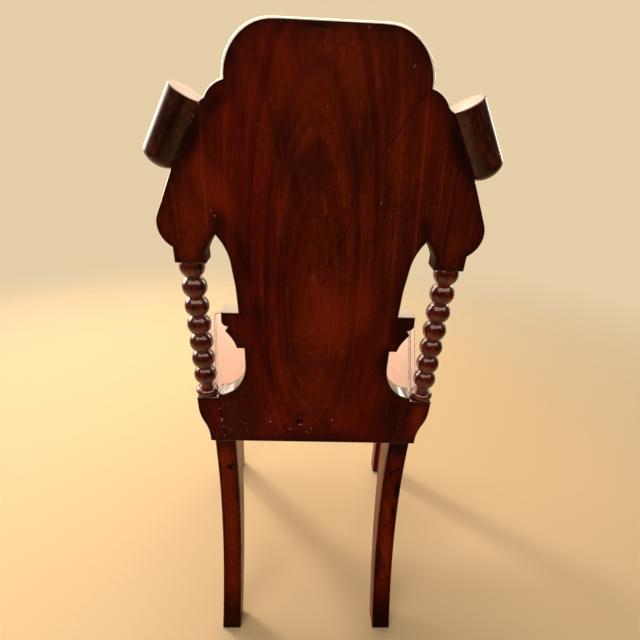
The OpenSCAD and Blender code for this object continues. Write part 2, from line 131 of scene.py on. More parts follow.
# Wood is drawn in its own grain frame, with X across the face, Y into it and Z along the grain.
# Every wooden piece built below carries those coordinates, in metres, as grain. Flat ones also carry wear,
# which is 1 on a rubbed arris and paints a highlight on the crest, and dirt with painted shade, which is 1
# at an edge and inside the board's bores and fades inwards.
def mahogany(name, look):
    material, tree = emptyMaterial(name)
    grain = addNode(tree, "ShaderNodeAttribute", {"attribute_name": "grain"})
    wear = addNode(tree, "ShaderNodeAttribute", {"attribute_name": "wear"})
    dirt = addNode(tree, "ShaderNodeAttribute", {"attribute_name": "dirt"})

    # Noise that ignores the fibres: its scale along each axis, its detail and its roughness
    noise = {}
    for key, scale, detail, roughness in (
            ("wander", (9, 9, 2.6), 3, 0.55), ("drift", (8, 8, 3), 2, 0.5), ("smudge", (28, 28, 14), 4, 0.6),
            ("speck", [1 / look["speck"]] * 3, 1, 0.5), ("rub", (60, 60, 60), 4, 0.7)):
        at = addNode(tree, "ShaderNodeMapping", None, {
            "Vector": grain.outputs["Vector"], "Scale": scale,
            "Location": look["driftFrom"] if key == "drift" else (0, 0, 0)})
        noise[key] = addNode(tree, "ShaderNodeTexNoise", None, {
            "Vector": at.outputs[0], "Scale": 1, "Detail": detail, "Roughness": roughness}).outputs

    # The fibres wander slowly
    wanderBy = addNode(tree, "ShaderNodeVectorMath", {"operation": "MULTIPLY_ADD"}, {
        0: noise["wander"]["Color"], 1: [look["wander"]] * 3, 2: [-look["wander"] / 2] * 3})
    fibre = addNode(tree, "ShaderNodeVectorMath", {"operation": "ADD"}, {
        0: grain.outputs["Vector"], 1: wanderBy.outputs[0]})

    # Growth rings: cylinders round a pith that leans towards the face, so they show as arches
    pith = addNode(tree, "ShaderNodeMapping", None, {
        "Vector": fibre.outputs[0], "Location": look["pith"], "Rotation": look["lean"]})
    pithParts = addNode(tree, "ShaderNodeSeparateXYZ", None, {0: pith.outputs[0]})
    flat = addNode(tree, "ShaderNodeCombineXYZ", None, {
        "X": pithParts.outputs["X"], "Y": pithParts.outputs["Y"]})
    radius = addNode(tree, "ShaderNodeVectorMath", {"operation": "LENGTH"}, {0: flat.outputs[0]})
    ringAt = addNode(tree, "ShaderNodeCombineXYZ", None, {
        "X": radius.outputs["Value"], "Z": pithParts.outputs["Z"]})
    ringMap = addNode(tree, "ShaderNodeMapping", None, {
        "Vector": ringAt.outputs[0], "Scale": (1 / look["ring"], 1, 1.4)})
    noise["ring"] = addNode(tree, "ShaderNodeTexNoise", None, {
        "Vector": ringMap.outputs[0], "Scale": 1, "Detail": 3, "Roughness": 0.55}).outputs

    # Noise along the fibres: how many times longer than wide its marks are, and its detail
    for key, stretch, detail in (("streak", 38, 5), ("cloud", 2.6, 3), ("mottle", 1.8, 4), ("pore", 11, 2)):
        at = addNode(tree, "ShaderNodeMapping", None, {
            "Vector": fibre.outputs[0],
            "Scale": (1 / look[key], 1 / look[key], 1 / (stretch * look[key]))})
        noise[key] = addNode(tree, "ShaderNodeTexNoise", None, {
            "Vector": at.outputs[0], "Scale": 1, "Detail": detail, "Roughness": 0.6,
            "Distortion": look["twist"] if key == "cloud" else 0.0}).outputs

    # A weighted sum of four of them, centred on a half, picks the colour
    shares = {key: look[key + "Share"] for key in ("ring", "streak", "cloud", "mottle")}
    figure = (1 - sum(shares.values())) / 2
    for key, share in shares.items():
        figure = addNode(tree, "ShaderNodeMath", {"operation": "MULTIPLY_ADD"}, {
            0: noise[key][0], 1: share, 2: figure}).outputs[0]

    # Heartwood drifts from red to brown over a hand's breadth
    driftMask = addNode(tree, "ShaderNodeMapRange", {"interpolation_type": "SMOOTHSTEP"}, {
        "Value": noise["drift"][0], "From Min": 0.38, "From Max": 0.62})
    redder = addNode(tree, "ShaderNodeValToRGB", {"stops": look["stops"]}, {0: figure})
    browner = addNode(tree, "ShaderNodeValToRGB", {"stops": look["brownStops"]}, {0: figure})
    colour = addNode(tree, "ShaderNodeMix", {"data_type": "RGBA"}, {
        0: driftMask.outputs[0], 6: redder.outputs[0], 7: browner.outputs[0]})

    # Open pores: dark dashes a millimetre wide, coarser than real ones so that they show
    poreMask = addNode(tree, "ShaderNodeMapRange", None, {
        "Value": noise["pore"][0], "From Min": 0.56, "From Max": 0.72,
        "To Min": 0, "To Max": look["poreDark"]})
    colour = addNode(tree, "ShaderNodeMix", {"data_type": "RGBA"}, {
        0: poreMask.outputs[0], 6: colour.outputs[2], 7: linear(look["poreColour"])})

    # Old polish and handling, together with painted shade, darken the wood towards its edges, unevenly, and
    # inside the bores
    unevenDirtAndShade = addNode(tree, "ShaderNodeMath", {"operation": "MULTIPLY_ADD"}, {
        0: noise["smudge"][0], 1: look["uneven"], 2: -look["uneven"] / 2})
    dirtAndShadeSum = addNode(tree, "ShaderNodeMath", {"operation": "MULTIPLY_ADD"}, {
        0: dirt.outputs["Fac"], 1: unevenDirtAndShade.outputs[0], 2: dirt.outputs["Fac"]})
    dirtAndShadeMask = addNode(tree, "ShaderNodeMapRange", None, {
        "Value": dirtAndShadeSum.outputs[0], "From Min": 0.12, "From Max": 1.0,
        "To Min": 0, "To Max": look["dirt"]})
    colour = addNode(tree, "ShaderNodeMix", {"data_type": "RGBA"}, {
        0: dirtAndShadeMask.outputs[0], 6: colour.outputs[2], 7: linear(look["dirtAndShadeColour"])})

    # Tiny pale specks where the polish has flaked
    speckMask = addNode(tree, "ShaderNodeMapRange", None, {
        "Value": noise["speck"][0], "From Min": 0.78, "From Max": 0.86,
        "To Min": 0, "To Max": look["speckStrength"]})
    colour = addNode(tree, "ShaderNodeMix", {"data_type": "RGBA"}, {
        0: speckMask.outputs[0], 6: colour.outputs[2], 7: linear(look["rubAndHighlightColour"])})

    # Marks at places of their own, some of them painted shadows, shade and highlights: ellipses with ragged
    # edges, each shade over the one before
    if look["marks"]:
        place = addNode(tree, "ShaderNodeTexCoord")
        rag = addNode(tree, "ShaderNodeTexNoise", None, {
            "Vector": place.outputs["Object"], "Scale": 1 / ragged["size"], "Detail": 2})
        shifted = addNode(tree, "ShaderNodeVectorMath", {"operation": "MULTIPLY_ADD"}, {
            0: rag.outputs["Color"], 1: [ragged["reach"]] * 3, 2: [-ragged["reach"] / 2] * 3})
        shifted = addNode(tree, "ShaderNodeVectorMath", {"operation": "ADD"}, {
            0: shifted.outputs[0], 1: place.outputs["Object"]})
        for shade, marks in look["marks"].items():
            cover = None
            for centre, lean, longHalf, wideHalf, edge, strength in marks:
                inside = addNode(tree, "ShaderNodeMapping", {"vector_type": "TEXTURE"}, {
                    "Vector": shifted.outputs[0], "Location": centre,
                    "Rotation": (0, math.radians(lean), 0),
                    "Scale": (wideHalf * mm, ragged["depth"], longHalf * mm)})
                away = addNode(tree, "ShaderNodeVectorMath", {"operation": "LENGTH"}, {
                    0: inside.outputs[0]})
                mask = addNode(tree, "ShaderNodeMapRange", {"interpolation_type": "SMOOTHSTEP"}, {
                    "Value": away.outputs["Value"], "From Min": 1 - edge, "From Max": 1,
                    "To Min": strength, "To Max": 0})
                if cover:
                    mask = addNode(tree, "ShaderNodeMath", {"operation": "MAXIMUM"}, {
                        0: cover, 1: mask.outputs[0]})
                cover = mask.outputs[0]
            colour = addNode(tree, "ShaderNodeMix", {"data_type": "RGBA"}, {
                0: cover, 6: colour.outputs[2], 7: linear(shade)})

    # Arrises rubbed through the polish, and on the board's crest and shoulders a painted highlight along
    # them
    rubSum = addNode(tree, "ShaderNodeMath", {"operation": "ADD"}, {
        0: wear.outputs["Fac"], 1: noise["rub"][0]})
    rubAndHighlightMask = addNode(tree, "ShaderNodeMapRange", None, {
        "Value": rubSum.outputs[0], "From Min": 0.75, "From Max": 1.2, "To Min": 0, "To Max": 1})
    finished = addNode(tree, "ShaderNodeMix", {"data_type": "RGBA"}, {
        0: rubAndHighlightMask.outputs[0], 6: colour.outputs[2], 7: linear(look["rubAndHighlightColour"])})

    # Polish: handled smooth in soft patches, dulled in others and in the pores
    rough = addNode(tree, "ShaderNodeMapRange", None, {
        "Value": noise["smudge"][0], "From Min": 0.3, "From Max": 0.7,
        "To Min": look["roughness"] - look["handled"], "To Max": look["roughness"] + look["dulled"]})
    rough = addNode(tree, "ShaderNodeMath", {"operation": "MULTIPLY_ADD", "use_clamp": True}, {
        0: poreMask.outputs[0], 1: look["poreDull"], 2: rough.outputs[0]})
    height = addNode(tree, "ShaderNodeMath", {"operation": "MULTIPLY_ADD"}, {
        0: poreMask.outputs[0], 1: -1, 2: noise["streak"][0]})
    bump = addNode(tree, "ShaderNodeBump", None, {
        "Strength": look["bump"], "Distance": look["relief"], "Height": height.outputs[0]})
    shader = addNode(tree, "ShaderNodeBsdfPrincipled", None, {
        "Base Color": finished.outputs[2], "Roughness": rough.outputs[0], "Normal": bump.outputs[0],
        "IOR": 1.5, "Specular IOR Level": look["specular"],
        "Coat Weight": look["coat"], "Coat Roughness": look["coatRoughness"], "Coat IOR": 1.52})
    addNode(tree, "ShaderNodeOutputMaterial", None, {"Surface": shader.outputs[0]})
    return material


# Colour stops for the figure of a wood, from its darkest streaks to its palest
def figured(*hexColours):
    return list(zip((0.26, 0.38, 0.50, 0.62, 0.76), hexColours))


# Cuban mahogany, sawn flat and French polished. Shellac gives its edges and front depth and a soft gloss.
polishedLook = {
    "wander": 16 * mm, "pith": (10 * mm, 104 * mm, 0), "lean": (math.radians(-13), 0, 0),
    "ring": 5 * mm, "ringShare": 0.5, "streak": 1.5 * mm, "streakShare": 0.32,
    "cloud": 40 * mm, "cloudShare": 0.42, "mottle": 5 * mm, "mottleShare": 0.3, "twist": 0.6,
    "stops": figured("#2a0701", "#3d0b01", "#501002", "#651603", "#7c1e05"),
    "brownStops": figured("#290902", "#3c0f02", "#4f1603", "#641f05", "#7a2a09"),
    "driftFrom": (0.3, 0, 0.1),
    "pore": 0.8 * mm, "poreDark": 0.55, "poreDull": 0.25, "poreColour": "#1b0502",
    "dirt": 0.75, "uneven": 0.9, "dirtAndShadeColour": "#140603", "marks": {},
    "speck": 1.6 * mm, "speckStrength": 0.5, "rubAndHighlightColour": "#fffaf2",
    "roughness": 0.3, "handled": 0.06, "dulled": 0.08, "bump": 0.15, "relief": 0.12 * mm,
    "specular": 0.5, "coat": 1.0, "coatRoughness": 0.09,
}
# Marks on the board's back: u, v, lean in degrees, half length, half width, softness and strength. Their
# lengths are in millimetres. Dark ones are cracks, dents, dirt and shadowy figure, and painted shade: the
# rolls' shadows on the board and shade round the tops of the arches.
darkMarksAndShadows = [
    (-69, 407, -32, 34, 1.1, 0.8, 0.8), (-86, 434, -42, 16, 1.3, 0.8, 0.75),
    (129, 391, -29.6, 52, 14, 0.9, 0.85), (-131, 391, 29.6, 52, 15, 0.9, 0.9),
    (104, 421, -55, 26, 10, 0.9, 0.7),
    (10, 484, 90, 22, 4, 1.0, 0.8), (86, 461, 20, 20, 7, 1.0, 0.75),
    (47, 392, 13, 60, 4, 1.0, 0.55), (34, 372, 14, 64, 11, 1.0, 0.4), (-38, 395, -8, 60, 26, 1.0, 0.45),
    (-1, 348.5, 37, 5, 1.0, 0.8, 0.85), (-3, 321, -42, 9, 0.9, 0.8, 0.8),
    (-21, 297, -26, 20, 1.2, 0.8, 0.75), (-9, 272, -25, 10, 1.6, 0.8, 0.9),
    (-3, 249.5, -22, 6, 1.2, 0.8, 0.85),
    (84, 272, 17, 60, 13, 0.9, 0.62), (72, 205, 6, 60, 12, 0.9, 0.62), (63, 130, 8, 56, 9, 0.9, 0.55),
    (107, 314, 15, 24, 15, 0.9, 0.7), (-110, 316, -10, 18, 13, 0.9, 0.65),
    (-80, 235, -4, 84, 20, 0.9, 0.3), (-101, 188, 0, 30, 20, 0.7, 0.75), (-84, 140, 4, 40, 12, 0.9, 0.6),
    (104, 44, 0, 62, 40, 0.7, 0.5), (104, 80, -80, 34, 8, 0.9, 0.7),
    (-96, 40, 0, 60, 32, 0.8, 0.5), (-110, 46, 0, 66, 36, 0.75, 0.66),
    (0, 6, 90, 125, 34, 1.0, 0.5), (20, 50, 0, 12, 10, 1.0, 0.6),
    (127.2, 44, 0.8, 60, 1.2, 0.5, 0.95), (-127.2, 44, -0.8, 60, 1.2, 0.5, 0.95),
]
# Pale ones are scratches, chips along the left corbel's joint and the ear, pale dots on the pellets, and a
# painted highlight on the lower lip of the middle bore
paleMarksAndHighlight = [
    (-75, 458, -38, 2.4, 0.6, 0.8, 0.5), (-32, 484, 20, 1.6, 0.6, 0.8, 0.45),
    (-60, 389, 0, 1.0, 0.9, 0.8, 0.45), (-59, 339, 30, 1.2, 0.9, 0.8, 0.5),
    (19.8, 33.4, 90, 3.2, 0.75, 0.7, 0.9), (34, 24.6, 86, 4.6, 1.3, 0.9, 0.45),
    (10, 20, 50, 4.0, 1.4, 0.9, 0.35), (4, 27, 10, 4.0, 1.0, 0.9, 0.35),
    (96, 33, 70, 1.8, 1.0, 0.9, 0.4), (94, 21, 80, 1.8, 1.0, 0.9, 0.4),
    (119, 25, 40, 3.6, 0.8, 0.9, 0.35), (116, 21, 60, 2.4, 0.8, 0.9, 0.35),
    (61.1, 38.0, 0, 1.6, 1.6, 0.8, 0.85), (-24.6, 42.4, 0, 1.6, 1.6, 0.8, 0.85),
    (128.2, 60, 0, 2.6, 0.8, 0.7, 0.6), (127.4, 40, 5, 4.4, 1.2, 0.7, 0.8),
    (125.8, 28, 60, 1.8, 1.1, 0.7, 0.7), (126.2, 11, 60, 1.8, 1.0, 0.7, 0.6),
    (-118, 29, 20, 2.4, 0.8, 0.9, 0.3),
    (164.6, 341, -22, 2.0, 1.4, 0.7, 0.8), (168.8, 330.5, -22, 2.0, 1.4, 0.7, 0.8),
    (116, 325, 10, 1.4, 1.0, 0.8, 0.4), (112, 320, 60, 2.4, 0.8, 0.8, 0.35),
]
# Warm ones are places where the wood is redder
warmMarks = [
    (-10, 200, 0, 85, 52, 1.0, 0.6), (-50, 225, 0, 66, 26, 1.0, 0.5), (112, 345, 25, 56, 22, 1.0, 0.6),
    (138, 318, 10, 36, 20, 1.0, 0.4), (20, 440, 0, 44, 36, 1.0, 0.35),
    (-143, 44, 0, 44, 13, 0.8, 0.5), (70, 430, 10, 44, 16, 1.0, 0.3), (-5, 95, 0, 50, 40, 1.0, 0.3),
]
# Marks on the rear legs, with painted shade under the apron at their tops and darker feet: place in
# millimetres, then the same five values
legMarksAndShade = [
    (128.6, 134.7, 315, 20, 9, 6.0, 0.6, 1.0), (124, 135, 321, 60, 5.5, 2.8, 0.6, 0.9),
    (-141.5, 133.7, 271, -2, 26, 6.0, 0.7, 1.0), (-139.6, 135.4, 225, 6, 18, 5.0, 0.7, 1.0),
    (-130.4, 134.2, 309, -45, 24, 5.0, 0.8, 0.95), (-131, 136, 376, 0, 54, 60, 0.7, 0.85),
    (131, 136.4, 378, 0, 36, 60, 0.7, 0.6), (133, 184, 0, 0, 120, 60, 0.7, 0.8),
    (-129, 184, 0, 0, 170, 60, 0.8, 0.9), (-122, 150, 120, 3, 90, 8, 1.0, 0.5),
    (146, 140, 210, 2, 120, 4, 1.0, 0.4),
]
marksAndPaintedLightOnBoard = {"#7c2206": warmMarks, "#150502": darkMarksAndShadows, "#c79a86": paleMarksAndHighlight}
backMarksAndPaintedLight = {shade: [(onBoard(u, v),) + tuple(rest) for u, v, *rest in marks]
             for shade, marks in marksAndPaintedLightOnBoard.items()}
rearLegMarksAndShade = {"#150603": [(Vector((x, y, z)) * mm,) + tuple(rest) for x, y, z, *rest in legMarksAndShade]}
# The back of the board was only oiled, and has stayed almost without shine
oiledLook = dict(polishedLook, marks=backMarksAndPaintedLight, **{
    "roughness": 0.5, "specular": 0.03, "coat": 0.0, "bump": 0.2})
# The same wood turned on the lathe, with more polish on it
turnedLook = dict(polishedLook, **{
    "pith": (3 * mm, 30 * mm, 0), "lean": (math.radians(-3), 0, 0), "ring": 4 * mm, "cloud": 14 * mm,
    "cloudShare": 0.7, "mottle": 4 * mm, "mottleShare": 0.5, "rubAndHighlightColour": "#c08a62",
    "stops": figured("#240602", "#380a02", "#500f03", "#661805", "#822a0c"),
    "brownStops": figured("#260802", "#3a0d03", "#531504", "#6a2008", "#87340f"),
    "specular": 0.1, "coat": 0.85, "coatRoughness": 0.06, "bump": 0.3,
})
# The rolls are painted darker than the rest, as shade, and their polish has dulled
shadedRollLook = dict(turnedLook, **{
    "stops": figured("#150502", "#1f0802", "#2d0d03", "#441705", "#68300f"),
    "brownStops": figured("#160602", "#220a03", "#321104", "#4c1f08", "#733b16"),
    "roughness": 0.4, "specular": 0.04, "coat": 0.45, "coatRoughness": 0.15, "bump": 0.9,
})
# A roll's flat top is end grain, sanded fine and polished, in the rolls' colour with its painted shade
rollTopLook = dict(shadedRollLook, **{
    "roughness": 0.34, "specular": 0.1, "coat": 0.33, "coatRoughness": 0.14, "bump": 0.3})
# The seat, faded by light and rubbed to a mirror by use
seatLook = dict(polishedLook, **{
    "pith": (20 * mm, 60 * mm, 0), "lean": (math.radians(-4), 0, 0), "ring": 8 * mm, "dirt": 0.4,
    "poreDark": 0.25, "speckStrength": 0.1, "rubAndHighlightColour": "#e3b48c",
    "stops": figured("#74290e", "#873411", "#9a4217", "#ac521f", "#bd642a"),
    "brownStops": figured("#782e10", "#8c3b14", "#9f4a1a", "#b15b24", "#c26e31"),
    "roughness": 0.26, "coat": 0.9, "coatRoughness": 0.07, "bump": 0.02,
})
# Legs and rails, straighter in the grain
legLook = dict(polishedLook, **{
    "wander": 12 * mm, "pith": (30 * mm, 90 * mm, 0), "lean": (math.radians(-2), 0, 0), "ring": 7 * mm,
    "streak": 2.4 * mm, "rubAndHighlightColour": "#bd7a4c",
    "stops": figured("#601604", "#742005", "#882b08", "#9e390f", "#b34818"),
    "brownStops": figured("#621a05", "#782607", "#8d330c", "#a44314", "#b95520"),
    "roughness": 0.32, "specular": 0.1, "coat": 0.12, "coatRoughness": 0.1,
})
# Their backs were only oiled, like the board's, and are painted darker than the sides, as shade
oiledShadedLegLook = dict(legLook, marks=rearLegMarksAndShade, **{
    "stops": figured("#3e0a02", "#511002", "#661803", "#7b2205", "#912f09"),
    "brownStops": figured("#400d02", "#551503", "#6b1f05", "#822b08", "#993a0f"),
    "roughness": 0.5, "specular": 0.02, "coat": 0.0, "bump": 0.2})
# Beech, plain and unpolished, in the hidden rail and blocks
beechLook = dict(polishedLook, **{
    "wander": 8 * mm, "pith": (10 * mm, 50 * mm, 0), "lean": (math.radians(-2), 0, 0), "ring": 4 * mm,
    "streak": 2 * mm, "cloudShare": 0.4,
    "stops": figured("#6d4a2c", "#85603c", "#9a7048", "#aa8258", "#b9946a"),
    "brownStops": figured("#664628", "#7b5735", "#8f6841", "#a07a52", "#b08c63"),
    "pore": 0.9 * mm, "poreDark": 0.35, "poreColour": "#5b3b22", "rubAndHighlightColour": "#c9a983",
    "dirt": 0.35, "dirtAndShadeColour": "#4a3524", "speckStrength": 0.0,
    "roughness": 0.62, "bump": 0.6, "specular": 0.4, "coat": 0.0,
})
polishedWood = mahogany("frenchPolishedMahogany", polishedLook)
oiledWood = mahogany("oiledMahogany", oiledLook)
turnedWood = mahogany("turnedMahogany", turnedLook)
shadedRollWood = mahogany("shadedRollMahogany", shadedRollLook)
rollTopWood = mahogany("rollTopMahogany", rollTopLook)
seatWood = mahogany("seatMahogany", seatLook)
legWood = mahogany("polishedLegMahogany", legLook)
oiledShadedLegWood = mahogany("oiledShadedLegMahogany", oiledShadedLegLook)
beech = mahogany("beech", beechLook)
print("woods mixed")


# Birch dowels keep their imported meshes, so they read Object coordinates
dowel = {
    "grain": (1.5 * mm, 1.5 * mm, 8 * mm), "roughness": 0.6, "bump": 0.4,
    "stops": [(0.35, "#a98757"), (0.5, "#c3a273"), (0.65, "#d6b98c")],
}
birch, tree = emptyMaterial("birchDowel")
place = addNode(tree, "ShaderNodeTexCoord")
at = addNode(tree, "ShaderNodeMapping", None, {
    "Vector": place.outputs["Object"], "Scale": [1 / size for size in dowel["grain"]]})
fibres = addNode(tree, "ShaderNodeTexNoise", None, {
    "Vector": at.outputs[0], "Scale": 1, "Detail": 4, "Roughness": 0.6})
colour = addNode(tree, "ShaderNodeValToRGB", {"stops": dowel["stops"]}, {0: fibres.outputs[0]})
bump = addNode(tree, "ShaderNodeBump", None, {
    "Strength": dowel["bump"], "Distance": 0.1 * mm, "Height": fibres.outputs[0]})
shader = addNode(tree, "ShaderNodeBsdfPrincipled", None, {
    "Base Color": colour.outputs[0], "Normal": bump.outputs[0], "Roughness": dowel["roughness"], "IOR": 1.5})
addNode(tree, "ShaderNodeOutputMaterial", None, {"Surface": shader.outputs[0]})


# Drawn steel screws, dulled by a century indoors, with brown rust in patches
def screwSteel(name, look):
    material, tree = emptyMaterial(name)
    place = addNode(tree, "ShaderNodeTexCoord")
    at = addNode(tree, "ShaderNodeMapping", None, {
        "Vector": place.outputs["Object"], "Scale": [1 / look["patch"]] * 3})
    patches = addNode(tree, "ShaderNodeTexNoise", None, {
        "Vector": at.outputs[0], "Scale": 1, "Detail": 5, "Roughness": 0.65})
    colour = addNode(tree, "ShaderNodeValToRGB", {"stops": look["stops"]}, {0: patches.outputs[0]})
    metal = addNode(tree, "ShaderNodeMapRange", None, {
        "Value": patches.outputs[0], "From Min": look["rustFrom"], "From Max": look["rustTo"],
        "To Min": 1, "To Max": 0.2})
    rough = addNode(tree, "ShaderNodeMapRange", None, {
        "Value": patches.outputs[0], "From Min": 0.35, "From Max": 0.65, "To Min": 0.35, "To Max": 0.8})
    bump = addNode(tree, "ShaderNodeBump", None, {
        "Strength": 0.5, "Distance": 0.05 * mm, "Height": patches.outputs[0]})
    shader = addNode(tree, "ShaderNodeBsdfPrincipled", None, {
        "Base Color": colour.outputs[0], "Metallic": metal.outputs[0], "Roughness": rough.outputs[0],
        "Normal": bump.outputs[0]})
    addNode(tree, "ShaderNodeOutputMaterial", None, {"Surface": shader.outputs[0]})
    return material


steel = screwSteel("dullScrewSteel", {
    "stops": [(0.40, "#8f8b84"), (0.52, "#6d665e"), (0.66, "#5a3320")],
    "rustFrom": 0.5, "rustTo": 0.64, "patch": 2 * mm})
# The screws in the back stood open to the air, and have gone nearly black
rustedSteel = screwSteel("rustedScrewSteel", {
    "stops": [(0.40, "#2b2420"), (0.52, "#221814"), (0.66, "#2c170e")],
    "rustFrom": 0.3, "rustTo": 0.44, "patch": 2 * mm})


# Grain frames. The columns are across, into and along the grain, and the shift picks a piece of the log.
def grainFrame(along, into, shift):
    z = Vector(along).normalized()
    x = Vector(into).cross(z).normalized()
    y = z.cross(x)
    turn = Matrix((x, y, z)).transposed().to_4x4()
    return turn, Vector(shift)


# Grain coordinates, materials, and the calls that tie a piece to the frame
def finishPiece(name, mesh, materials, grain, replaced):
    turn, shift = grain
    inverse = turn.inverted()
    coordinates = mesh.attributes.new("grain", "FLOAT_VECTOR", "POINT")
    values = []
    for vertex in mesh.vertices:
        values.extend(inverse @ vertex.co + shift)
    coordinates.data.foreach_set("vector", values)
    for i, material in enumerate(materials):
        if i < len(mesh.materials):
            mesh.materials[i] = material
        else:
            mesh.materials.append(material)
    piece = bpy.data.objects.new(name, mesh)
    scene.collection.objects.link(piece)
    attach(piece, rootBody)
    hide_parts(*replaced)


# A bmesh turned into a mesh, with empty material slots for what its faces already say
def asMesh(shell, name, slots=0):
    mesh = bpy.data.meshes.new(name)
    for i in range(slots):
        mesh.materials.append(None)
    shell.to_mesh(mesh)
    shell.free()
    return mesh


# A mesh with its modifiers applied. Each step is a modifier's kind and its settings.
def worked(mesh, *steps):
    holder = bpy.data.objects.new("holder", mesh)
    scene.collection.objects.link(holder)
    for kind, settings in steps:
        modifier = holder.modifiers.new(kind.lower(), kind)
        for key, value in settings.items():
            setattr(modifier, key, value)
    result = bpy.data.meshes.new_from_object(
        holder.evaluated_get(bpy.context.evaluated_depsgraph_get()))
    bpy.data.objects.remove(holder)
    return result


# Edges sharper than this are eased, in this many facets. Faces that turn less than this are one face.
arris = {
    "sharpFrom": math.radians(40), "segments": 3, "sameFace": math.radians(0.3),
    "smoothUpTo": math.radians(38), "weld": 2e-6, "onCut": 1e-7, "dirtAndShadeReach": 9 * mm,
    "cell": 8 * mm, "plainCell": 40 * mm,     # how fine faces are cut, in mahogany and in other woods
    "backFacing": 0.8,                        # faces turned to the back by this share were only oiled
}


# Whether a point is within reach of the axis of one of the board's bores
def nearBore(point, reach):
    return any(math.hypot(point.x - bore, point.z - board["screwZ"]) < reach for bore in board["screwU"])


# The sawn sides of the ears, in the arches, have no polish on them
def inArch(face):
    u, v = (fromBoard @ face.calc_center_median()).xy
    besideArch = board["archIn"] < abs(u) < board["archOut"] and board["archFoot"] < v < board["archTop"]
    return besideArch and abs(face.normal.x) > board["archTurned"]


# A imported solid as one welded shell, with its arrises eased by easeOf and rubbed by wearOf, which also
# paints highlights.
# Its faces are cut into cells along the given axes, so that dirt and painted shade can fade in from the
# edges.
def easedShell(node, easeOf, wearOf, cells):
    shell = bmesh.new()
    shell.from_mesh(nodes[node].data)
    bmesh.ops.remove_doubles(shell, verts=shell.verts, dist=arris["weld"])
    bmesh.ops.dissolve_limit(shell, angle_limit=arris["sameFace"], verts=shell.verts, edges=shell.edges)
    weightLayer = shell.edges.layers.float.new("bevel_weight_edge")
    eases = {}
    for edge in shell.edges:
        if len(edge.link_faces) == 2 and edge.is_convex and edge.calc_face_angle(0) > arris["sharpFrom"]:
            eases[edge] = easeOf((edge.verts[0].co + edge.verts[1].co) / 2)
    widest = max(eases.values())
    for edge, ease in eases.items():
        edge[weightLayer] = ease / widest
    mesh = worked(asMesh(shell, node, 2), ("BEVEL", {
        "limit_method": "WEIGHT", "width": widest, "segments": arris["segments"],
        "use_clamp_overlap": False, "material": 1}))
    shell = bmesh.new()
    shell.from_mesh(mesh)
    bmesh.ops.triangulate(shell, faces=[f for f in shell.faces if len(f.verts) > 4])
    for axis, step in cells:
        places = [vertex.co.dot(axis) for vertex in shell.verts]
        start = min(places)
        for i in range(1, int((max(places) - start) / step) + 1):
            bmesh.ops.bisect_plane(
                shell, geom=shell.verts[:] + shell.edges[:] + shell.faces[:], dist=arris["onCut"],
                plane_co=axis * (start + i * step), plane_no=axis)
    wearLayer = shell.loops.layers.float.new("wear")
    dirtAndShadeLayer = shell.verts.layers.float.new("dirt")
    isBoard = node == "back_board"
    rubbed = {vertex for face in shell.faces if face.material_index == 1 for vertex in face.verts}
    near = kdtree.KDTree(len(rubbed))
    for i, vertex in enumerate(rubbed):
        near.insert(vertex.co, i)
    near.balance()
    for vertex in shell.verts if cells else ():      # a piece without cells carries no dirt
        # Inside the board's bores the wood is painted dark, as shade
        inBore = isBoard and nearBore(vertex.co, board["boreWall"])
        inBore = inBore and (fromBoard @ vertex.co).z > board["boreRim"]
        vertex[dirtAndShadeLayer] = 1.0 if inBore else math.exp(-near.find(vertex.co)[2] / arris["dirtAndShadeReach"])
    for face in shell.faces:
        middle = face.calc_center_median()
        if face.material_index == 1:
            wear = wearOf(middle)
            for loop in face.loops:
                loop[wearLayer] = wear
        isBack = face.normal.y > arris["backFacing"] and face.material_index == 0
        isSawn = isBoard and (nearBore(middle, board["boreWall"]) or inArch(face))
        face.material_index = 1 if isBack or isSawn else 0
    return smoothed(asMesh(shell, node, 2))


# Vertex normals follow the large flat faces, so they stay flat beside their rounded arrises
def smoothed(mesh):
    mesh.shade_smooth()
    mesh.set_sharp_from_angle(angle=arris["smoothUpTo"])
    return worked(mesh, ("WEIGHTED_NORMAL", {"keep_sharp": True, "weight": 80}))


# The board's crest is rounded most, and rubbed pale, with a painted highlight along it. The edges round the
# bores at its foot stay crisp.
crest = {
    "from": 442.4 * mm, "cornerU": 80 * mm, "cornerV": 474 * mm, "reach": 30 * mm, "ease": 1.8 * mm,
    "cornerEase": 2.7 * mm, "shoulderFade": 60 * mm, "shoulderEase": 1.5 * mm, "elsewhere": 1.2 * mm,
    "wear": 1.0, "shoulderFrom": 425 * mm, "shoulderWearAndHighlight": 0.8, "wearElsewhere": 0.15,
}
# The corbels' edges stay sharp where they meet the board
corbel = {"easedFrom": 130 * mm, "ease": 0.9 * mm}


def boardEase(point):
    u, v, w = fromBoard @ point
    if nearBore(point, board["keepRound"]):
        return 0.0
    if abs(u) > board["jointU"] and v < board["jointV"]:
        return 0.0
    if v > crest["from"]:
        away = math.hypot(abs(u) - crest["cornerU"], v - crest["cornerV"]) / crest["reach"]
        rounded = crest["ease"] + (crest["cornerEase"] - crest["ease"]) * math.exp(-away * away)
        return rounded if w < board["thickness"] / 2 else crest["ease"]
    fade = min(1.0, max(0.0, (crest["from"] - v) / crest["shoulderFade"]))
    return crest["shoulderEase"] + (crest["elsewhere"] - crest["shoulderEase"]) * fade


def corbelEase(point):
    u = (fromBoard @ point).x
    return 0.0 if abs(u) < corbel["easedFrom"] else corbel["ease"]


def boardWearAndHighlight(point):
    v = (fromBoard @ point).y
    if v > crest["from"]:
        return crest["wear"]
    return crest["shoulderWearAndHighlight"] if v > crest["shoulderFrom"] else crest["wearElsewhere"]


def evenly(value):
    return lambda point: value


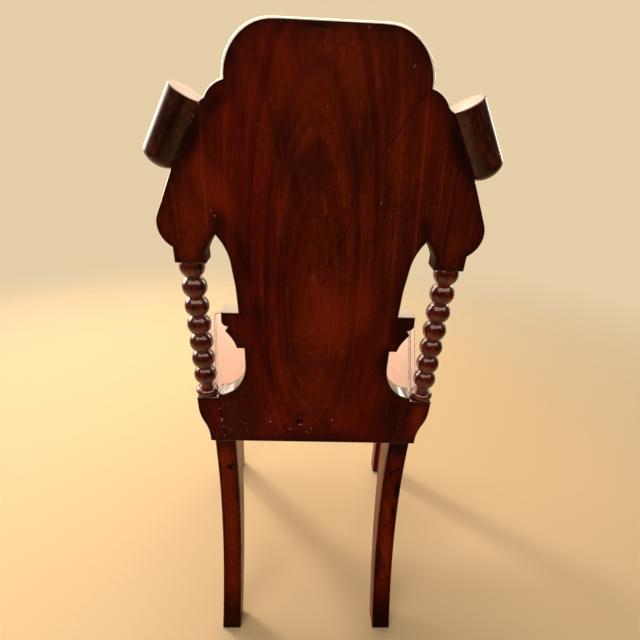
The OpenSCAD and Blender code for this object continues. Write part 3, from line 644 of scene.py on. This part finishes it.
up = (0, 0, 1)
boardUp = boardFrame.to_3x3() @ Vector((0, 1, 0))
boardIn = boardFrame.to_3x3() @ Vector((0, 0, 1))
seatInset, seatRun = 84 * mm, 356.2 * mm      # the seat's sides close in by this much over this depth
seatSlope = seatInset / seatRun
frameWear = 0.2
acrossX, acrossY, acrossZ = Vector((1, 0, 0)), Vector((0, 1, 0)), Vector((0, 0, 1))

# Flat pieces: node, woods, slot, ease in millimetres, way of the grain, way into the face, shift in the log
boardWoods = [polishedWood, oiledWood]
legWoods = [legWood, oiledShadedLegWood]
flatPieces = [
    ("back_board", boardWoods, "mahogany_board", 0, boardUp, boardIn, (0, 0, -0.55)),
    ("corbel_left", boardWoods, "mahogany_board", 0, boardUp, boardIn, (0.31, 0.02, 0.4)),
    ("corbel_right", boardWoods, "mahogany_board", 0, boardUp, boardIn, (-0.27, 0.05, 0.9)),
    ("seat_board", [seatWood, seatWood], "mahogany_seat", 1.6, (0, 1, 0), (0, 0, -1), (0, 0, 0.7)),
    ("front_rail", [legWood] * 2, "mahogany_frame", 1.0, (1, 0, 0), (0, 1, 0), (0.1, 0, 0.2)),
    ("side_rail_left", [legWood] * 2, "mahogany_frame", 1.0, (-seatSlope, 1, 0), (-1, 0, 0), (0.5, 0, 1.1)),
    ("side_rail_right", [legWood] * 2, "mahogany_frame", 1.0, (seatSlope, 1, 0), (1, 0, 0), (0.8, 0, 1.7)),
    ("rear_rail", [beech] * 2, "secondary_wood", 0.8, (1, 0, 0), (0, 1, 0), (0.2, 0, 0.5)),
    ("rear_leg_left", legWoods, "mahogany_frame", 1.5, up, (0, -1, 0), (0.22, 0, 2.1)),
    ("rear_leg_right", legWoods, "mahogany_frame", 1.5, up, (0, -1, 0), (-0.13, 0, 2.9)),
    ("front_leg_left", legWoods, "mahogany_frame", 1.5, up, (0, 1, 0), (0.45, 0, 3.4)),
    ("front_leg_right", legWoods, "mahogany_frame", 1.5, up, (0, 1, 0), (-0.4, 0, 4.2)),
    ("corner_block_front_left", [beech] * 2, "secondary_wood", 0.6, (1, 1, 0), up, (0, 0, 0)),
    ("corner_block_front_right", [beech] * 2, "secondary_wood", 0.6, (1, -1, 0), up, (0, 0, 0.6)),
    ("corner_block_rear_left", [beech] * 2, "secondary_wood", 0.6, (1, -1, 0), up, (0, 0, 1.2)),
    ("corner_block_rear_right", [beech] * 2, "secondary_wood", 0.6, (1, 1, 0), up, (0, 0, 1.8)),
    ("glue_blocks", [beech] * 2, "secondary_wood", 0.5, (0, 1, 0), up, (0, 0, 2.4)),
]
for node, woods, slot, ease, along, into, shift in flatPieces:
    if node == "back_board":
        cells = [(axis, arris["cell"]) for axis in (acrossX, boardUp, boardIn)]
        mesh = easedShell(node, boardEase, boardWearAndHighlight, cells)
    else:
        cell = arris["cell"] if slot.startswith("mahogany") else arris["plainCell"]
        cells = [(axis, cell) for axis in (acrossX, acrossY, acrossZ)]
        easeOf = corbelEase if node.startswith("corbel") else evenly(ease * mm)
        mesh = easedShell(node, easeOf, evenly(frameWear), cells)
    finishPiece(node + "_eased", mesh, woods, grainFrame(along, into, shift), [node])
print("flat pieces eased")


# Solid of revolution round Z from a profile of radius and height, closed at its poles
def lathe(profile, segments):
    shell = bmesh.new()
    rings = []
    for radius, height in profile:
        if radius == 0:
            rings.append([shell.verts.new((0, 0, height))])
        else:
            turns = [2 * math.pi * i / segments for i in range(segments)]
            rings.append([shell.verts.new((radius * math.cos(turn), radius * math.sin(turn), height))
                          for turn in turns])
    for low, high in zip(rings, rings[1:]):
        for i in range(segments):
            j = (i + 1) % segments
            corners = [low[i % len(low)], low[j % len(low)], high[j % len(high)], high[i % len(high)]]
            shell.faces.new(list(dict.fromkeys(corners)))
    bmesh.ops.recalc_face_normals(shell, faces=shell.faces)
    return shell


def arc(centre, radius, start, end, steps):
    angles = [math.radians(start + (end - start) * i / steps) for i in range(steps + 1)]
    return [(centre[0] + radius * math.cos(a), centre[1] + radius * math.sin(a)) for a in angles]


# Shoulder rolls: turned, bull-nosed below, and planed flat where they meet the board
roll = {
    "radius": 18 * mm, "length": 66 * mm, "dome": 9 * mm, "nose": 9 * mm, "rim": 1.7 * mm,
    "flat": 14.5 * mm, "slope": math.radians(29.6), "top": (130.2 * mm, 431.1 * mm),
    "topTilt": math.radians(7), "topDepth": 8 * mm,    # the top was sawn leaning to the back of the chair
    "endFacing": 0.97, "endWithin": 4 * mm,            # which faces are the top's end grain
    "segments": 72,
}


def rollProfile():
    r, length, rim, nose = roll["radius"], roll["length"], roll["rim"], roll["nose"]
    domeRadius = (r * r + roll["dome"] ** 2) / (2 * roll["dome"])
    domeCentre = length + roll["dome"] - domeRadius
    # The nose arc touches the straight side and the dome from inside
    reach = domeRadius - nose
    noseHeight = domeCentre + math.sqrt(reach ** 2 - (r - nose) ** 2)
    touch = math.degrees(math.atan2(noseHeight - domeCentre, r - nose))
    profile = [(0, 0), (r * 0.5, 0)] + arc((r - rim, rim), rim, -90, 0, 4)
    profile += [(r, rim + (noseHeight - rim) * i / 8) for i in range(1, 8)]
    profile += arc((r - nose, noseHeight), nose, 0, touch, 8)
    profile += arc((0, domeCentre), domeRadius, touch, 90, 10)[1:-1]
    return profile + [(0, domeCentre + domeRadius)]


for side, word in ((1, "left"), (-1, "right")):
    shell = lathe(rollProfile(), roll["segments"])
    bmesh.ops.bisect_plane(shell, geom=shell.verts[:] + shell.edges[:] + shell.faces[:],
                           plane_co=(-roll["flat"], 0, 0), plane_no=(-1, 0, 0), clear_outer=True)
    bmesh.ops.holes_fill(shell, edges=[e for e in shell.edges if e.is_boundary])
    for vertex in shell.verts:
        fadeDown = max(0.0, 1 - vertex.co.z / roll["topDepth"])
        vertex.co.z -= vertex.co.y * math.tan(roll["topTilt"]) * fadeDown
    for face in shell.faces:
        isEnd = face.normal.z < -roll["endFacing"] and face.calc_center_median().z < roll["endWithin"]
        face.material_index = 1 if isEnd else 0
    place = (boardFrame @ Matrix.Diagonal((side, 1, 1, 1))
             @ Matrix.Translation((roll["top"][0], roll["top"][1], board["thickness"] / 2))
             @ Matrix.Rotation(roll["slope"], 4, "Z") @ Matrix.Rotation(math.pi / 2, 4, "X"))
    bmesh.ops.transform(shell, matrix=place, verts=shell.verts)
    if side < 0:
        bmesh.ops.reverse_faces(shell, faces=shell.faces)
    bmesh.ops.triangulate(shell, faces=[f for f in shell.faces if len(f.verts) > 4])
    mesh = asMesh(shell, "shoulder_roll_" + word, 2)
    down = place.to_3x3() @ Vector((0, 0, 1))
    finishPiece("shoulder_roll_%s_turned" % word, smoothed(mesh), [shadedRollWood, rollTopWood],
                grainFrame(down, boardIn, (0.05 * side, 0.01, 0.3 * side)),
                ["shoulder_roll_" + word])
print("rolls turned")


# Spindles: a string of six balls made by one tree, over a turned cup, under a half ball
spindle = {
    "u": 145.3 * mm, "ball": 29 * mm, "pitch": 25 * mm, "first": 109.5 * mm, "count": 6,
    "neck": 8 * mm, "neckHeight": 1.8 * mm, "segments": 48,
    "foot": 78.6 * mm, "rise": 1 * mm, "rim": 4.6 * mm,                   # the cup
    "collar": 1 * mm, "collarHeight": 2.2 * mm, "collarRound": 0.6 * mm,  # and the collar on it
    "stemInset": 0.5 * mm, "head": 266.8 * mm, "tenon": 5 * mm, "tenonLength": 10 * mm,
}


def ballTree():
    tree = bpy.data.node_groups.new("ballString", "GeometryNodeTree")
    sockets = {}
    for name, kind in (("Ball Radius", "Float"), ("Pitch", "Float"), ("First Ball", "Float"),
                       ("Count", "Int"), ("Neck Radius", "Float"), ("Neck Height", "Float"),
                       ("Wood", "Material")):
        sockets[name] = tree.interface.new_socket(name, in_out="INPUT", socket_type="NodeSocket" + kind)
    tree.interface.new_socket("Geometry", in_out="OUTPUT", socket_type="NodeSocketGeometry")
    given = addNode(tree, "NodeGroupInput").outputs
    start = addNode(tree, "ShaderNodeCombineXYZ", None, {"Z": given["First Ball"]})
    step = addNode(tree, "ShaderNodeCombineXYZ", None, {"Z": given["Pitch"]})
    halfStep = addNode(tree, "ShaderNodeVectorMath", {"operation": "MULTIPLY_ADD"}, {
        0: step.outputs[0], 1: (0, 0, 0.5), 2: start.outputs[0]})
    balls = addNode(tree, "GeometryNodeMeshLine", None, {
        "Count": given["Count"], "Start Location": start.outputs[0], "Offset": step.outputs[0]})
    necks = addNode(tree, "GeometryNodeMeshLine", None, {
        "Count": given["Count"], "Start Location": halfStep.outputs[0], "Offset": step.outputs[0]})
    ball = addNode(tree, "GeometryNodeMeshUVSphere", None, {
        "Segments": 48, "Rings": 32, "Radius": given["Ball Radius"]})
    neck = addNode(tree, "GeometryNodeMeshCylinder", None, {
        "Vertices": 40, "Radius": given["Neck Radius"], "Depth": given["Neck Height"]})
    strung = addNode(tree, "GeometryNodeInstanceOnPoints", None, {
        "Points": balls.outputs[0], "Instance": ball.outputs[0]})
    joined = addNode(tree, "GeometryNodeInstanceOnPoints", None, {
        "Points": necks.outputs[0], "Instance": neck.outputs[0]})
    both = addNode(tree, "GeometryNodeJoinGeometry")
    tree.links.new(strung.outputs[0], both.inputs[0])
    tree.links.new(joined.outputs[0], both.inputs[0])
    solid = addNode(tree, "GeometryNodeRealizeInstances", None, {0: both.outputs[0]})
    wood = addNode(tree, "GeometryNodeSetMaterial", None, {
        "Geometry": solid.outputs[0], "Material": given["Wood"]})
    addNode(tree, "NodeGroupOutput", None, {0: wood.outputs[0]})
    return tree, {name: socket.identifier for name, socket in sockets.items()}


def grownMesh(tree, identifiers, values):
    holder = bpy.data.objects.new("holder", bpy.data.meshes.new("holder"))
    scene.collection.objects.link(holder)
    modifier = holder.modifiers.new("grow", "NODES")
    modifier.node_group = tree
    for name, value in values.items():
        modifier[identifiers[name]] = value
    mesh = bpy.data.meshes.new_from_object(
        holder.evaluated_get(bpy.context.evaluated_depsgraph_get()))
    bpy.data.objects.remove(holder)
    return mesh


ballString, ballInputs = ballTree()
ballRadius = spindle["ball"] / 2
cupTop = spindle["foot"] + spindle["rise"] + 2 * spindle["rim"]
cupFoot = spindle["foot"] - spindle["tenonLength"]
collarRadius = spindle["neck"] + spindle["collar"]
collarTop = cupTop + spindle["collarHeight"]
stemRadius = spindle["neck"] - spindle["stemInset"]
cupProfile = (
    [(0, cupFoot), (spindle["tenon"], cupFoot), (spindle["tenon"], spindle["foot"]),
     (ballRadius - spindle["rim"], spindle["foot"])]
    + arc((ballRadius - spindle["rim"], cupTop - spindle["rim"]), spindle["rim"], -75, 90, 12)
    + [(collarRadius, cupTop), (collarRadius, collarTop - spindle["collarRound"])]
    + arc((collarRadius - spindle["collarRound"], collarTop - spindle["collarRound"]),
          spindle["collarRound"], 0, 90, 4)
    + [(stemRadius, collarTop), (stemRadius, spindle["first"]), (0, spindle["first"])]
)
lastBall = spindle["first"] + spindle["count"] * spindle["pitch"]
halfBall = math.degrees(math.asin((spindle["head"] - lastBall) / ballRadius))
headProfile = (
    [(0, lastBall - ballRadius)] + arc((0, lastBall), ballRadius, -86, halfBall, 24)
    + [(spindle["tenon"], spindle["head"]), (spindle["tenon"], spindle["head"] + spindle["tenonLength"]),
       (0, spindle["head"] + spindle["tenonLength"])]
)
for side, word in ((1, "left"), (-1, "right")):
    strung = grownMesh(ballString, ballInputs, {
        "Ball Radius": ballRadius, "Pitch": spindle["pitch"], "First Ball": spindle["first"],
        "Count": spindle["count"], "Neck Radius": spindle["neck"], "Neck Height": spindle["neckHeight"],
        "Wood": turnedWood})
    shell = bmesh.new()
    shell.from_mesh(strung)
    for profile in (cupProfile, headProfile):
        shell.from_mesh(asMesh(lathe(profile, spindle["segments"]), "part"))
    place = (boardFrame @ Matrix.Translation((side * spindle["u"], 0, board["thickness"] / 2))
             @ Matrix.Rotation(-math.pi / 2, 4, "X"))
    bmesh.ops.transform(shell, matrix=place, verts=shell.verts)
    mesh = asMesh(shell, "spindle_" + word)
    mesh.shade_smooth()
    mesh.set_sharp_from_angle(angle=arris["smoothUpTo"])
    finishPiece("spindle_%s_turned" % word, mesh, [turnedWood],
                grainFrame(boardUp, boardIn, (0.2 * side, 0, 0.8 * side)), ["spindle_" + word])
print("spindles turned")

# Pellets that plug the outer bores, cut from the same board and pared flush with its back
pellet = {"ease": 0.12 * mm, "wear": 0.0}
mesh = easedShell("screw_pellets", evenly(pellet["ease"]), evenly(pellet["wear"]), [])
finishPiece("screw_pellets_pared", mesh, boardWoods,
            grainFrame(boardUp, boardIn, (0.012, 0, -0.51)), ["screw_pellets"])
print("pellets pared")

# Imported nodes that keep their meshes
keptNodes = {
    "roll_dowels": birch, "corbel_dowels": birch, "corner_block_screws": steel, "seat_screws": steel,
    "rear_rail_screws": steel, "back_screws": rustedSteel,
}
for name, material in keptNodes.items():
    nodes[name].data.materials.clear()
    nodes[name].data.materials.append(material)
print("dowels and screws dressed")

# Camera, worked out from the photograph: behind the chair, above it, looking down at its back
camera = {
    "place": (14.0 * mm, 612.1 * mm, 773.0 * mm), "turn": -2.09, "down": 22.95, "roll": 2.35,
    "focalPixels": 389.7, "imagePixels": 640, "sensor": 36.0, "clipFrom": 0.02,
}
turnBy, downBy, rollBy = (math.radians(camera[key]) for key in ("turn", "down", "roll"))
level = math.cos(downBy)
ahead = Vector((math.sin(turnBy) * level, -math.cos(turnBy) * level, -math.sin(downBy)))
right = ahead.cross(Vector(up)).normalized()
above = right.cross(ahead)
rolledRight = math.cos(rollBy) * right + math.sin(rollBy) * above
rolledAbove = -math.sin(rollBy) * right + math.cos(rollBy) * above
lens = bpy.data.cameras.new("camera")
lens.sensor_width = camera["sensor"]
lens.lens = camera["sensor"] * camera["focalPixels"] / camera["imagePixels"]
lens.clip_start = camera["clipFrom"]
viewer = bpy.data.objects.new("camera", lens)
scene.collection.objects.link(viewer)
viewer.matrix_world = (Matrix.Translation(camera["place"])
                       @ Matrix((rolledRight, rolledAbove, -ahead)).transposed().to_4x4())
scene.camera = viewer
print("camera placed")

# Pale floor that fades into the backdrop, so no horizon shows
studio = {
    "floor": "#dac4a0", "backdrop": "#ead3ac", "fadeFrom": 0.5, "fadeTo": 2.8, "size": 6.0,
    "under": 0.5 * mm, "aim": Vector((0, 0, 0.5)),
    "skyLight": 0.26, "skyShine": 0.95, "skySeen": 0.95,
    "roomShine": 0.03, "roomFrom": -0.55, "roomTo": -0.05,      # the room is darker behind the camera
}
bpy.ops.mesh.primitive_circle_add(
    vertices=96, radius=studio["size"], fill_type="NGON", location=(0, 0, -studio["under"]))
floor = bpy.context.object
floor.name = "floor"
floorPaint, tree = emptyMaterial("floorPaint")
place = addNode(tree, "ShaderNodeTexCoord")
away = addNode(tree, "ShaderNodeVectorMath", {"operation": "LENGTH"}, {0: place.outputs["Object"]})
fade = addNode(tree, "ShaderNodeMapRange", {"interpolation_type": "SMOOTHSTEP"}, {
    "Value": away.outputs["Value"], "From Min": studio["fadeFrom"], "From Max": studio["fadeTo"],
    "To Min": 0, "To Max": 1})
paint = addNode(tree, "ShaderNodeBsdfPrincipled", None, {
    "Base Color": linear(studio["floor"]), "Roughness": 0.85, "Specular IOR Level": 0.2})
gone = addNode(tree, "ShaderNodeBsdfTransparent")
mixed = addNode(tree, "ShaderNodeMixShader", None, {
    0: fade.outputs[0], 1: paint.outputs[0], 2: gone.outputs[0]})
addNode(tree, "ShaderNodeOutputMaterial", None, {"Surface": mixed.outputs[0]})
floor.data.materials.append(floorPaint)

# The backdrop is pale to the camera, and dimmer as light. Polish sees it bright beyond the chair only.
world = bpy.data.worlds.new("studio")
scene.world = world
world.use_nodes = True
tree = world.node_tree
tree.nodes.clear()
path = addNode(tree, "ShaderNodeLightPath")
towards = addNode(tree, "ShaderNodeTexCoord")
towardsParts = addNode(tree, "ShaderNodeSeparateXYZ", None, {0: towards.outputs["Generated"]})
roomShine = addNode(tree, "ShaderNodeMapRange", {"interpolation_type": "SMOOTHSTEP"}, {
    "Value": towardsParts.outputs["Y"], "From Min": studio["roomFrom"], "From Max": studio["roomTo"],
    "To Min": studio["skyShine"], "To Max": studio["roomShine"]})
shine = addNode(tree, "ShaderNodeMix", {"data_type": "FLOAT"}, {
    0: path.outputs["Is Glossy Ray"], 2: studio["skyLight"], 3: roomShine.outputs[0]})
strength = addNode(tree, "ShaderNodeMix", {"data_type": "FLOAT"}, {
    0: path.outputs["Is Camera Ray"], 2: shine.outputs[0], 3: studio["skySeen"]})
sky = addNode(tree, "ShaderNodeBackground", None, {
    "Color": linear(studio["backdrop"]), "Strength": strength.outputs[0]})
addNode(tree, "ShaderNodeOutputWorld", None, {"Surface": sky.outputs[0]})

# A wide panel beyond the chair draws the pale reflections on its seat and upward edges, and a panel at its
# left draws them on its rounds. Ceiling and head panels and two windows, which only polish sees, draw more.
# A key throws the shadows. An overhead lamp and a fill light the back that the camera sees, and are hidden
# from polish, because they would veil it.
# Lamps: name, place, width and depth, watts, tint, and the kind of ray that they are hidden from
lamps = [
    ("widePanel", (0.1, -2.3, 2.3), (3.0, 2.2), 62, "#ffe3c2", None),
    ("leftPanel", (2.0, -1.2, 1.3), (1.4, 1.4), 30, "#ffe6cc", None),
    ("key", (1.5, -1.5, 2.2), (0.35, 0.35), 30, "#fff0dc", None),
    ("ceilingPanel", (0.2, -0.4, 2.4), (2.2, 2.2), 95, "#ffdcc6", "diffuse"),
    ("window", (2.2, -0.7, 1.5), (1.6, 1.2), 55, "#fff0e0", "diffuse"),
    ("rightWindow", (-2.0, -1.6, 1.6), (0.8, 1.2), 28, "#fff0e0", "diffuse"),
    ("headPanel", (-0.1, 0.75, 1.8), (3.2, 1.3), 56, "#ffe6d2", "diffuse"),
    ("overhead", (0.2, -0.5, 2.5), (1.8, 1.2), 11, "#fff4e6", "glossy"),
    ("fill", (1.4, 2.3, 1.4), (2.0, 1.6), 33, "#fff4e6", "glossy"),
]
for name, place, size, watts, tint, hiddenFrom in lamps:
    light = bpy.data.lights.new(name, "AREA")
    light.shape = "RECTANGLE"
    light.size, light.size_y = size
    light.energy = watts
    light.color = linear(tint)[:3]
    holder = bpy.data.objects.new(name, light)
    scene.collection.objects.link(holder)
    holder.location = place
    holder.rotation_euler = (Vector(place) - studio["aim"]).to_track_quat("Z", "Y").to_euler()
    holder.visible_camera = False
    holder.visible_diffuse = hiddenFrom != "diffuse"
    holder.visible_glossy = hiddenFrom != "glossy"
scene.view_settings.view_transform = "Standard"
print("studio set")
